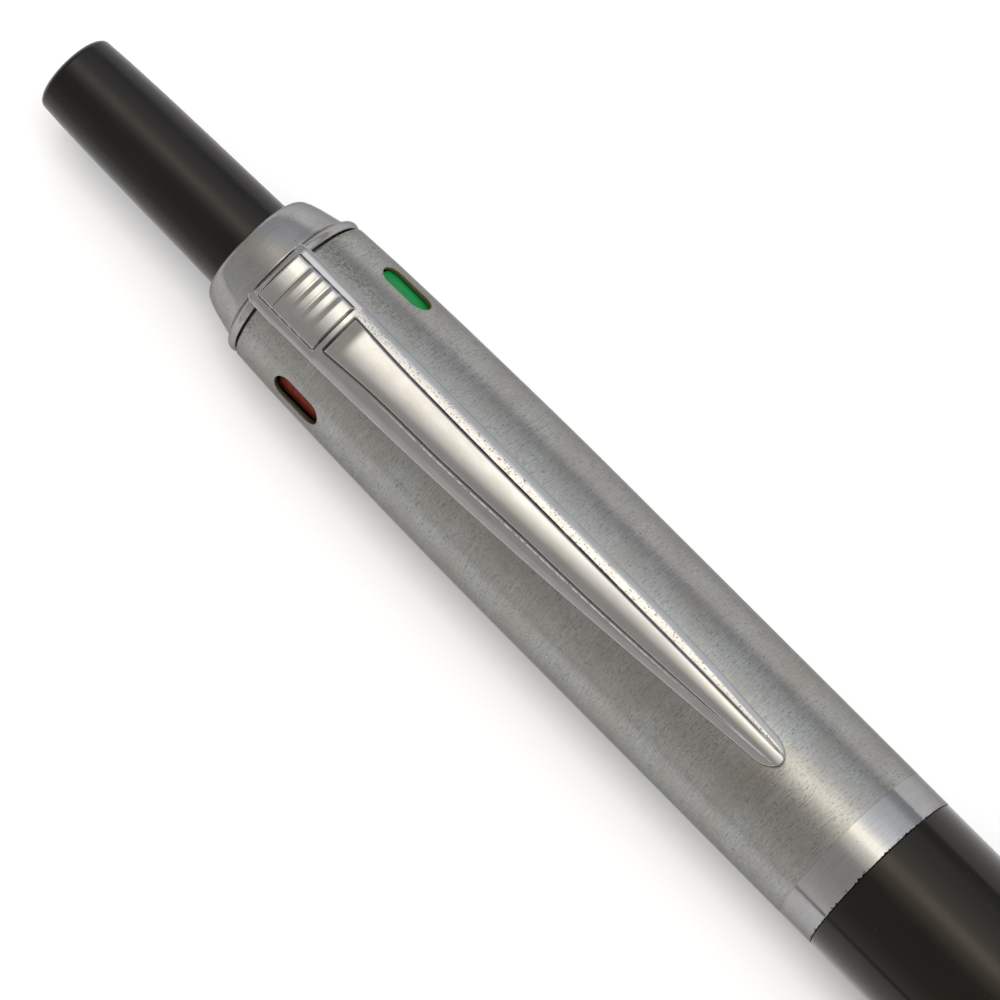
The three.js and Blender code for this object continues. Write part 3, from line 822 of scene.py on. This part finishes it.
# Pocket clip: a pressed strip, arched across, with a raised ridge between two flanges and a reeded
# pad for its head. Tables give [station, value].
clip = {
    "rear": 20.55, "roundTip": 65.2, "tip": 66.7, "bluntTip": 0.02,
    "halfWidth": [[20.55, 2.3], [20.75, 2.46], [21.1, 2.54], [24.7, 2.55], [31, 2.48], [38, 2.35],
                  [44.8, 2.15], [50.4, 1.94], [58.3, 1.54], [64.3, 1.12], [66.7, 0.95]],
    "middle": [[20.55, -0.14], [24.7, -0.15], [31, -0.12], [38, -0.04], [44.8, 0.09], [50.4, 0.24],
               [58.3, 0.46], [64.3, 0.53], [66.7, 0.55]],
    "under": [[20.55, 5.9], [21.4, 6.02], [26.1, 6.17], [30.2, 6.65], [36.2, 7.05], [46.4, 7.15],
              [56.5, 6.9], [64.6, 6.48], [66.7, 6.44]],
    "thick": [[20.55, 0.45], [21.4, 0.6], [52.4, 0.6], [64.6, 0.5], [66.7, 0.3]],
    "archRadius": 7.5,
    "edge": 0.1, "wall": 0.09, "mostShare": 0.3,     # of the half width that an edge or a wall takes
    "rearHollow": 0.5, "hollowLength": 0.5,
    "foot": [[22.5, -1.4, 5.3], [23.9, 1.4, 6.3]], "footBevel": 0.1,

    "ridgeFrom": 26.75, "ridgeRise": 0.3, "besideRidge": 0.135,
    "reliefTo": 0.98,     # in shares of the rounded tip
    "ridgeHalf": [[26.75, 1.5], [28, 1.43], [31, 1.26], [38, 1.14], [44.8, 1.0], [50.4, 0.91],
                  [59.8, 0.66], [66.7, 0.4]],
    "ridgeMiddle": [[26.75, -0.14], [31, -0.08], [38, -0.07], [44.8, 0.06], [50.4, 0.13], [59.8, 0.36],
                    [66.7, 0.53]],
    "ridgeHeight": [[26.75, 0.12], [27.3, 0.55], [30, 0.62], [45, 0.6], [58.5, 0.42], [66.7, 0.12]],
    "crownRadius": [[26.75, 8.6], [29, 8.2], [34.2, 7.1], [40.8, 5.3], [47.3, 4.2], [53.8, 3.6],
                    [60.4, 2.1], [66.7, 1.8]],
    "crownLean": [[26.75, 3.1], [29, 3.0], [34.2, 2.5], [40.8, 2.2], [47.3, 0.3], [53.8, -1.6],
                  [60.4, -0.9], [66.7, 0.6]],     # degrees
    "crownSkew": [[26.75, 0.022], [34.2, 0.03], [40.8, 0.038], [47.3, 0.03], [53.8, 0.03],
                  [60.4, 0.09], [66.7, 0.09]],
    # the flanges' outer parts are folded down
    "foldShare": [[26.75, 0.6], [50, 0.58], [55, 0.56], [60.4, 0.42], [66.7, 0.3]], "foldSlope": 0.36,

    "padFrom": 21.1, "padRise": 0.25, "padFall": 0.2, "padTo": 26.45, "padHeight": 0.36,
    "padHalf": 1.95, "padSlope": [-0.16, 0.04], "padCrease": 0.06,
    "flutes": 4, "flutesFrom": 21.55, "flutesTo": 26.0, "fluteDepth": 0.17,

    # painted shade and painted highlight: a dark crease along the ridge, weaker towards -Y,
    # and a bright lip that comes and goes
    "creaseFrom": 26.95, "creaseWidth": 0.025, "weakCrease": 0.3, "weakCreaseLoss": 0.85,
    "creaseShade": 0.5, "creaseGain": 0.5, "creaseLoss": 0.4, "creaseLossAt": [50, 55],
    "lipOffsets": [0.17, 0.14, 0.09, 0.055, 0.02], "lipRoom": 0.25,
    "lipFrom": [30, 37], "lipTo": [54, 62],

    "fineStep": 0.07, "fineTo": 27.6, "step": 0.25, "tipSteps": 14,
    "edgeSteps": 5, "flangeSteps": 8, "slopeSteps": 8, "crownSteps": 14,
}


def smoothStep(value, low, high):
    t = np.clip((value - low) / (high - low), 0, 1)
    return t * t * (3 - 2 * t)


# Height of the clip's upper side over its plain arched strip, at a station and a y from the middle
def clipRelief(station, y):
    def at(key):
        return curveAt(clip[key], station)

    ridgeSide = y - (at("ridgeMiddle") - at("middle"))
    ridgeHalf, wall = at("ridgeHalf"), clip["wall"]
    crown = (1 / at("crownRadius") - 1 / clip["archRadius"]) / 2
    lean = math.tan(math.radians(at("crownLean")))
    ridge = at("ridgeHeight") - crown * ridgeSide ** 2 - lean * ridgeSide
    ridge = ridge + at("crownSkew") * ridgeSide ** 3
    ridge = ridge * (1 - smoothStep(np.abs(ridgeSide), ridgeHalf - wall, ridgeHalf + wall))
    ridge = ridge * smoothStep(station, clip["ridgeFrom"], clip["ridgeFrom"] + clip["ridgeRise"])
    inner, outer = (clip["padHalf"] + slope for slope in clip["padSlope"])
    pad = clip["padHeight"] * (1 - smoothStep(np.abs(y), inner, outer))
    pad = pad * smoothStep(station, clip["padFrom"], clip["padFrom"] + clip["padRise"])
    pad = pad * (1 - smoothStep(station, clip["padTo"] - clip["padFall"], clip["padTo"]))
    share = (station - clip["flutesFrom"]) / (clip["flutesTo"] - clip["flutesFrom"])
    wave = share * (clip["flutes"] + 1)
    if 0.5 <= wave <= clip["flutes"] + 0.5:
        depth = clip["fluteDepth"] / clip["padHeight"]
        pad = pad * (1 - depth * (1 - abs(math.sin(wave * math.pi))))
    return np.maximum(ridge, 0) + pad


def clipStations():
    stations = list(np.arange(clip["rear"], clip["fineTo"], clip["fineStep"]))
    stations += list(np.arange(stations[-1] + clip["step"], clip["roundTip"], clip["step"]))
    rounding, steps = clip["tip"] - clip["roundTip"], clip["tipSteps"]
    return stations + [clip["roundTip"] + rounding * math.sin(math.pi / 2 * k / steps)
                       for k in range(steps + 1)]


# One row of points across the clip: its upper and lower side, and its wear, painted crease shade
# and painted lip highlight from 0 to 1
def clipRow(station):
    def at(key):
        return curveAt(clip[key], station)

    tiny = 1e-6
    rounding = clip["tip"] - clip["roundTip"]
    past = max(0, station - clip["roundTip"]) / (rounding + clip["bluntTip"])
    tipShare = math.sqrt(1 - past * past)
    half = at("halfWidth") * tipShare
    edge = min(clip["edge"], half * clip["mostShare"])
    flat = half - edge
    onPad = float(station < clip["ridgeFrom"])
    ridge = min(at("ridgeHalf"), flat - clip["besideRidge"])
    ridge = ridge + onPad * (clip["padHalf"] - clip["padCrease"] - ridge)
    wall = min(clip["wall"], ridge * clip["mostShare"])
    foot = ridge + wall

    # y values from the outline to the middle, then over both halves
    steps = clip["edgeSteps"]
    rim = [half - edge * (1 - math.cos(math.pi / 2 * k / steps)) for k in range(steps + 1)]
    nearFoot = foot + np.array(clip["lipOffsets"]) * min(1, (flat - foot) / clip["lipRoom"])
    flange = list(np.linspace(flat, nearFoot[0], clip["flangeSteps"] + 1))[1:-1]
    lipIndex = len(rim) + len(flange) + 1
    slope = list(np.linspace(foot, ridge - wall, clip["slopeSteps"] + 1))
    crown = list(np.linspace(ridge - wall, 0, clip["crownSteps"] + 1))[1:]
    right = np.array(rim + flange + list(nearFoot) + slope + crown)
    across = np.concatenate([-right, right[::-1][1:]])
    offset = at("middle")
    shift = (at("ridgeMiddle") - offset) * (1 - onPad)
    inner = np.abs(across) <= foot + tiny
    nudge = np.where(inner, 1.0, (half - np.abs(across)) / max(half - foot, tiny))
    across = across + shift * nudge

    under = at("under") - (clip["archRadius"] - np.sqrt(clip["archRadius"] ** 2 - across ** 2))
    inset = np.clip((np.abs(across) - flat) / edge, 0, 1)
    roundEdge = edge * (1 - np.sqrt(np.maximum(0, 1 - inset ** 2)))
    foldFrom = ridge + (half - ridge) * at("foldShare")
    folded = clip["foldSlope"] * np.maximum(0, np.abs(across) - foldFrom)
    relief = clipRelief(station, across) if past < clip["reliefTo"] else 0 * across
    hollow = 1 - smoothStep(station, clip["rear"], clip["rear"] + clip["hollowLength"])
    stations = station + clip["rearHollow"] * (1 - (across / half) ** 2) * hollow
    tops = under + at("thick") - roundEdge - folded + relief * tipShare
    bottoms = under + roundEdge
    upper, lower = ([place(s, offset + y, z) for s, y, z in zip(stations, across, heights)]
                    for heights in (tops, bottoms))

    # the crease gets painted shade, and the lip beside it a painted highlight
    lipStarts, lipEnds = (smoothStep(station, *clip[key]) for key in ("lipFrom", "lipTo"))
    dark = (np.abs(right - foot) < clip["creaseWidth"]) & (station > clip["creaseFrom"])
    weak = clip["weakCrease"] * (1 - clip["weakCreaseLoss"] * lipEnds)
    strong = (clip["creaseShade"] + clip["creaseGain"] * lipStarts
              - clip["creaseLoss"] * smoothStep(station, *clip["creaseLossAt"]))
    onLip = np.isin(np.arange(len(across)), (lipIndex, lipIndex + 1))
    return upper, lower, {
        "wornStrip": (across > ridge) & (across < foldFrom) & (station > clip["ridgeFrom"]),
        "creaseShade": np.concatenate([dark * weak, dark[::-1][1:] * strong]),
        "paintedLipHighlight": lipStarts * (1 - lipEnds) * onLip,
    }


def makeClip():
    rows = [clipRow(station) for station in clipStations()]
    mesh = shellMesh("clipStrip", [row[0] for row in rows], [row[1] for row in rows])
    for name in rows[0][2]:
        top = np.concatenate([row[2][name] for row in rows])
        bottom = np.zeros(len(top))
        if name == "creaseShade":
            bottom[:len(rows[0][0])] = 1     # painted shade under the rear edge
        layer = mesh.attributes.new(name, "FLOAT", "POINT")
        layer.data.foreach_set("value", np.concatenate([top, bottom]).astype(np.float32))
    smoothShaded(mesh, sharpAngle=50)
    addPiece("clipStrip", mesh, "chrome", "clip", ["pocket_clip"])
    foot = cornerBevelled("clipFoot", blockMesh(*clip["foot"]), clip["footBevel"])
    addPiece("clipFoot", smoothShaded(foot, sharpAngle=30), "chrome", "clip", [])


makeClip()
print("clip ready")


# Lower barrel with its brass bush, and the nose cone
barrel = {
    "shell": {"sides": 160, "outline": [
        [75.35, 5.55], [75.35, 6.23, 0.05], [82, 6.24], [88, 6.235], [93, 6.18], [98, 6.1], [103, 5.97],
        [108, 5.8], [112, 5.6], [116, 5.34], [121, 4.95, 0.05], [121, 4.05], [112, 4.3], [96, 4.7],
        [88, 5.1], [85.2, 5.55],
    ]},
    "bush": {"sides": 96, "outline": [[75.9, 5.06, 0.1], [75.9, 5.4, 0.08], [84.7, 5.4], [84.7, 5.06]]},
    "nose": {"sides": 128, "outline": [
        [121.3, 4.93, 0.06], [124, 4.57], [127, 4.15], [130, 3.73], [133, 3.3], [136, 2.88], [138.2, 2.57],
        [139.6, 2.28, 0.3], [140, 2.02, 0.15], [140, 1.72, 0.05], [137.5, 2], [128, 2.95], [118, 3.35],
        [114, 3.4], [114, 3.85, 0.1], [120.7, 3.85], [120.7, 3.95], [121.3, 3.95],
    ]},
}
turnedPiece("barrelShell", barrel["shell"], "lacquer", "barrel", ["lower_barrel"])
turnedPiece("barrelThreadBush", barrel["bush"], "brass", "barrel", ["barrel_bush"])
turnedPiece("noseTip", barrel["nose"], "polished", "barrel", ["nose_cone"])


# Connector with its screw thread, and the guide for the refills
connector = {
    "tube": {"sides": 128, "outline": [
        [57.4, 4.45], [57.4, 5.36], [75, 5.36, 0.05], [75, 4.9], [85, 4.9, 0.1], [85.4, 4.6, 0.1],
        [85.4, 4.45],
    ]},
    "threadFrom": 75.9, "threadLength": 8.4, "pitch": 0.75, "threadRadius": 4.9, "threadHeight": 0.12,
    "threadSteps": 72, "threadSides": 4,
    "guide": {"sides": 96, "outline": [[82, 0], [82, 4.25, 0.1], [85, 4.25, 0.1], [85, 0]]},
    "guideHole": {"sides": 48, "outline": [[81, 0], [81, 1.37], [86, 1.37], [86, 0]]},
    "guideReach": 2.64,
}


def makeConnector():
    turnedPiece("connectorTube", connector["tube"], "brass", "upper", ["connector"])
    thread = coilMesh("connectorThread", {
        "Turns": connector["threadLength"] / connector["pitch"], "Steps": connector["threadSteps"],
        "Radius": connector["threadRadius"] * mm, "Length": connector["threadLength"] * mm,
        "Wire Radius": connector["threadHeight"] * mm, "Wire Sides": connector["threadSides"],
        "Start": place(connector["threadFrom"]), "Finish": finishes["brass"],
    })
    addPiece("connectorThread", smoothShaded(thread, sharpAngle=50), "brass", "upper", [])
    holes = []
    for turn in colourTurns.values():
        hole = turnedMesh("guideHole", connector["guideHole"], "housing")[0]
        hole.transform(turnAbout(turn) @ raisedBy(connector["guideReach"]))
        holes.append(("DIFFERENCE", hole))
    turnedPiece("refillGuideDisc", connector["guide"], "housing", "upper",
                ["refill_guide"], holes)


makeConnector()
print("barrel, nose and connector ready")


# Carriers with their colour flags, rods and refills, one set for each colour
train = {
    "block": [[31, -1.4, 2.35], [37.5, 1.4, 4.3]],
    "arm": [[25.2, -1.25, 4.0], [32, 1.25, 4.3]],
    "flag": [[25.2, -1.25, 4.1], [30.4, 1.25, 6]],
    # the carrier is trimmed to the flag's radius in the window and to the arm's in the sleeve
    "flagRadius": {"green": 5.58, "red": 5.34, "blue": 5.5},
    "armRadius": 4.32, "trimAt": [20, 30.7, 50], "trimSides": 160,
    "rodHole": {"sides": 32, "outline": [[34, 0], [34, 1.0], [39, 1.0], [39, 0]]},
    "bevel": 0.05,
    "rodReach": 2.9,
    # thicker up to the spring's seat, which is clear of the weight when the button is pressed
    "rod": {"sides": 40, "outline": [
        [34.3, 0], [34.3, 0.75], [37.5, 0.75], [37.5, 0.9], [40.46, 0.9], [40.46, 1.2], [40.62, 1.2],
        [40.62, 0.75], [63, 0.75, 0.2], [63.6, 1.48, 0.2], [69, 1.48, 0.08], [69, 1.3], [66.5, 1.3],
        [66.5, 0],
    ]},
    "refillStart": 66.8, "refillLean": 1.03,
    "refill": {"sides": 48, "outline": [
        [66.8, 0.75], [66.8, 1.15, 0.05], [116.3, 1.15, 0.15], [116.9, 0.95, 0.1], [116.9, 0.75],
    ]},
    "point": {"sides": 40, "outline": [
        [112.9, 0], [112.9, 0.5], [117.2, 0.5], [117.2, 0.7, 0.05], [131.4, 0.7, 0.4], [133.5, 0.36, 0.1],
        [133.8, 0.2, 0.1], [133.8, 0],
    ]},
}


def makeTrain(colour, turn):
    body, cartridge = f"{colour}_slider", f"{colour}_cartridge"
    flagRadius, armRadius = train["flagRadius"][colour], train["armRadius"]
    first, flagEnd, last = train["trimAt"]
    reach = turnedMesh("reach", {"sides": train["trimSides"], "outline": [
        [first, 0], [first, flagRadius], [flagEnd, flagRadius], [flagEnd, armRadius], [last, armRadius],
        [last, 0],
    ]}, colour)[0]
    rodHole = turnedMesh("rodHole", train["rodHole"], colour)[0]
    rodHole.transform(raisedBy(train["rodReach"]))
    mesh = carved(f"{colour}Carrier", blockMesh(*train["block"]), [
        ("UNION", blockMesh(*train["arm"])), ("UNION", blockMesh(*train["flag"])),
        ("INTERSECT", reach), ("DIFFERENCE", rodHole),
    ])
    mesh = smoothShaded(cornerBevelled(f"{colour}Carrier", mesh, train["bevel"]), sharpAngle=30)
    mesh.transform(turnAbout(turn))
    addPiece(f"{colour}Carrier", mesh, colour, body, [f"{colour}_carrier"])
    outwards = turnAbout(turn) @ raisedBy(train["rodReach"])
    turnedPiece(f"{colour}Rod", train["rod"], "wire", body, [f"{colour}_rod"],
                move=outwards)
    pivot = Matrix.Translation(place(train["refillStart"]))
    lean = pivot @ Matrix.Rotation(math.radians(train["refillLean"]), 4, "Y") @ pivot.inverted()
    turnedPiece(f"{colour}Refill", train["refill"], f"{colour}Ink", cartridge,
                [f"{colour}_refill"], move=outwards @ lean)
    turnedPiece(f"{colour}Point", train["point"], "brass", cartridge, [f"{colour}_point"],
                move=outwards @ lean)


for colour, turn in colourTurns.items():
    makeTrain(colour, turn)


# Compression springs, the button's on the axis and one on each rod
spring = {"wire": 0.26, "steps": 28, "wireSides": 8, "to": 52.75, "travel": 9}
buttonCoil = {"from": 32.5, "radius": 1.0, "turns": 14.0, "reach": 0}
rodCoil = {"from": 40.65, "radius": 1.12, "turns": 8.0, "reach": 2.9}


def makeSpring(name, coil, turn):
    length = spring["to"] - coil["from"]
    mesh = coilMesh(f"{name}Coil", {
        "Turns": coil["turns"], "Steps": spring["steps"], "Radius": coil["radius"] * mm,
        "Length": (length - spring["wire"]) * mm, "Wire Radius": spring["wire"] / 2 * mm,
        "Wire Sides": spring["wireSides"], "Start": place(coil["from"] + spring["wire"] / 2),
        "Finish": finishes["wire"],
    })
    mesh.transform(turnAbout(turn) @ raisedBy(coil["reach"]))
    piece = addPiece(f"{name}Coil", smoothShaded(mesh, sharpAngle=60), "wire", "upper",
                     [f"{name}_spring"])
    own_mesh(piece)


makeSpring("button", buttonCoil, 0)
for colour, turn in colourTurns.items():
    makeSpring(colour, rodCoil, turn)

# Inner parts that keep their CAD mesh
innerFinishes = {
    "plunger": "brass", "selector_weight": "brass", "retaining_clip": "wire", "guide_pin": "wire",
    "catch_spider": "wire", "spring_plate": "brass", "mechanism_sleeve": "housing",
}
for node, finish in innerFinishes.items():
    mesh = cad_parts[node].data
    mesh.materials.clear()
    mesh.materials.append(finishes[finish])
print("mechanism ready")


# Table and light. The sky's light comes mostly from above and a little from the +Y side. Its
# brightness is given by the angle from straight up, in degrees towards +Y.
studio = {
    "tableSize": 6.0,
    "table": 0xe8e9ed,
    "tableGlow": 0.13,            # brings the lit table up to white in the picture and in the metal
    # angle, brightness, and warmth from -1 to 1
    "sky": [(-180, 0.5, 0), (-92, 0.65, 0), (-89.5, 0.65, 0), (-88.4, 0.12, 0), (-86.9, 0.12, 0),
            (-85.2, 1.0, 0.3), (-68, 0.76, 0.3), (-54, 0.65, 0.4), (-40, 0.58, 0.5), (-17, 0.56, 0.5),
            (-10, 0.65, 0.6), (-5, 0.95, 0.8), (0, 1.2, 0.8), (5, 1.52, 0.9), (10, 2.05, 0.9),
            (14.5, 2.8, 1), (20.5, 2.85, 1), (27, 2.1, 0.6), (33, 1.62, 0), (43, 1.4, -0.3),
            (56, 1.1, -0.3), (69, 0.95, -0.3), (78, 0.58, -0.6), (88, 0.48, -0.6), (92, 0.55, 0),
            (180, 0.5, 0)],
    "skyTop": 2.85,
    "redByWarmth": 0.06, "blueByWarmth": -0.12,
    "lampFrom": (-0.7, -0.4),     # along X, the bright part of the sky fades in over this range
    "lampTo": (0.55, 0.8),
    "besideLamp": 0.6,
    # a soft lamp that the metal doesn't mirror, for the shadow on the table
    "lampTurn": 10, "lampDistance": 1.2, "lampLength": 0.7, "lampWidth": 0.36, "lampPower": 3.95,
}


def makeTable():
    half = studio["tableSize"] / 2
    mesh = bpy.data.meshes.new("table")
    corners = [(-half, -half, 0), (half, -half, 0), (half, half, 0), (-half, half, 0)]
    mesh.from_pydata(corners, [], [(0, 1, 2, 3)])
    material = bpy.data.materials.new("whiteTable")
    material.use_nodes = True
    tree = material.node_tree
    tree.nodes.remove(tree.nodes["Principled BSDF"])
    path = addNode(tree, "ShaderNodeLightPath")
    seen = addLarger(tree, path.outputs["Is Camera Ray"],
                     addLarger(tree, path.outputs["Is Glossy Ray"], path.outputs["Is Transmission Ray"]))
    plain = addNode(tree, "ShaderNodeBsdfDiffuse", {"Color": linearColour(studio["table"])})
    glow = addNode(tree, "ShaderNodeEmission", {"Strength": addProduct(tree, seen, studio["tableGlow"])})
    shown = addNode(tree, "ShaderNodeAddShader", {0: plain.outputs[0], 1: glow.outputs[0]})
    tree.links.new(shown.outputs[0], tree.nodes["Material Output"].inputs["Surface"])
    mesh.materials.append(material)
    newObject("table", mesh)


def addSkyRamp(tree, share, brightest):
    ramp = addNode(tree, "ShaderNodeValToRGB", {0: share})
    stops = ramp.color_ramp.elements
    stops.remove(stops[0])
    for degrees, level, warmth in studio["sky"]:
        stop = stops[-1] if degrees == 180 else stops.new((degrees + 180) / 360)
        tone = min(level, brightest) / studio["skyTop"]
        red, blue = (tone * (1 + studio[key] * warmth) for key in ("redByWarmth", "blueByWarmth"))
        stop.color = (red, tone, blue, 1)
    return ramp.outputs["Color"]


def makeSky():
    world = bpy.data.worlds.new("studio")
    bpy.context.scene.world = world
    world.use_nodes = True
    tree = world.node_tree
    direction = addSplit(tree, addNode(tree, "ShaderNodeTexCoord").outputs["Generated"])
    angle = addMath(tree, "ARCTAN2", direction["Y"], direction["Z"])
    share = addRange(tree, angle, -math.pi, math.pi)
    fadeIn = addRange(tree, direction["X"], *studio["lampFrom"], smooth=True)
    fadeOut = addRange(tree, direction["X"], *studio["lampTo"], 1.0, 0.0, True)
    colour = addMix(tree, addProduct(tree, fadeIn, fadeOut),
                    addSkyRamp(tree, share, studio["besideLamp"]),
                    addSkyRamp(tree, share, studio["skyTop"]))
    sky = tree.nodes["Background"]
    sky.inputs["Strength"].default_value = studio["skyTop"]
    tree.links.new(colour, sky.inputs["Color"])
    white = addNode(tree, "ShaderNodeBackground", {"Color": (1, 1, 1, 1)})
    path = addNode(tree, "ShaderNodeLightPath")
    mixed = addNode(tree, "ShaderNodeMixShader",
                    {0: path.outputs["Is Camera Ray"], 1: sky.outputs[0], 2: white.outputs[0]})
    tree.links.new(mixed.outputs[0], tree.nodes["World Output"].inputs["Surface"])


def makeLamp():
    data = bpy.data.lights.new("softLamp", "AREA")
    data.shape = "RECTANGLE"
    data.size, data.size_y = studio["lampLength"], studio["lampWidth"]
    data.energy = studio["lampPower"]
    lamp = newObject("softLamp", data)
    turn = math.radians(studio["lampTurn"])
    distance = studio["lampDistance"]
    lamp.location = (0, distance * math.sin(turn), distance * math.cos(turn))
    lamp.rotation_euler = (-turn, 0, 0)
    lamp.visible_glossy = False


makeTable()
makeSky()
makeLamp()
bpy.context.scene.view_settings.view_transform = "Standard"
print("table and light ready")
